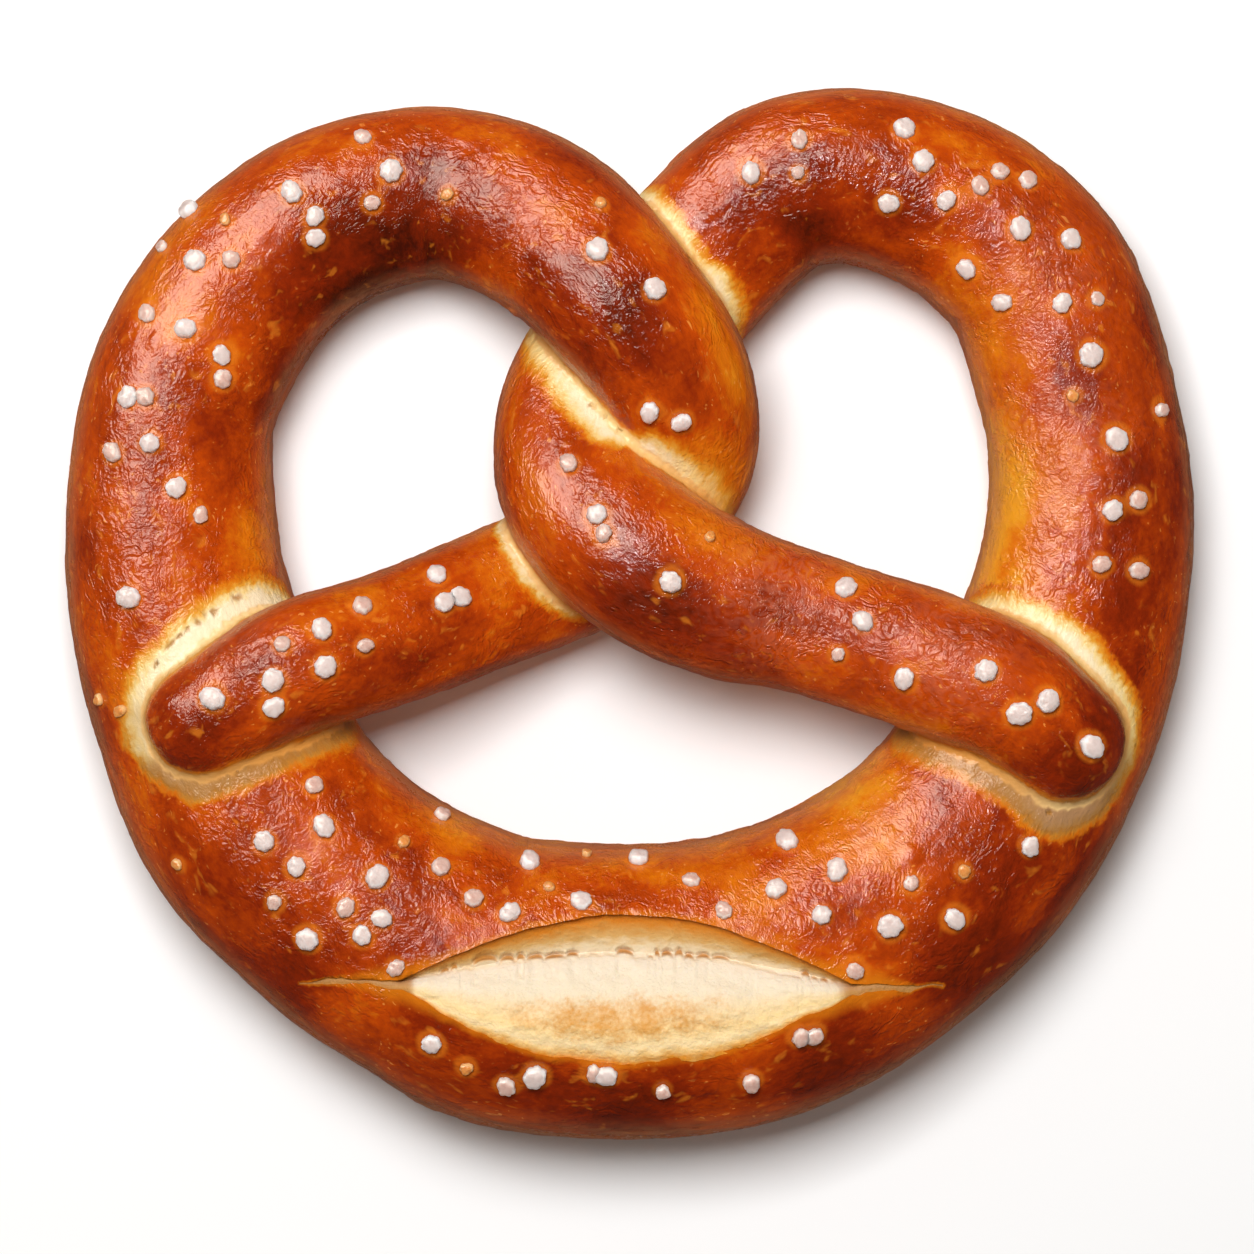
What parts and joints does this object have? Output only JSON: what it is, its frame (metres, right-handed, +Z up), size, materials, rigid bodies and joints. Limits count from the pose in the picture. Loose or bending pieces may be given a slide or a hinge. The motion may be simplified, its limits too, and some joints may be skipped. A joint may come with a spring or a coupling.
{
  "type": "bavarian pretzel",
  "caption": "Soft baked pretzel: a rope of dough crossed on itself, with a thick burst belly, thin arms and coarse salt on a glossy brown crust.",
  "frame": {"origin": "on the surface the pretzel lies on, under the middle of its outline", "axes": "+X to the right as in the picture, +Y from the belly towards the two lobes, +Z up out of the salted side"},
  "size_m": [0.1599, 0.1485, 0.0374],
  "materials": {
    "crust": "satin",
    "crumb": "matte",
    "salt": "satin"
  },
  "bodies": {
    "root": {"pretzel": "crust"}
  },
  "joints": []
}
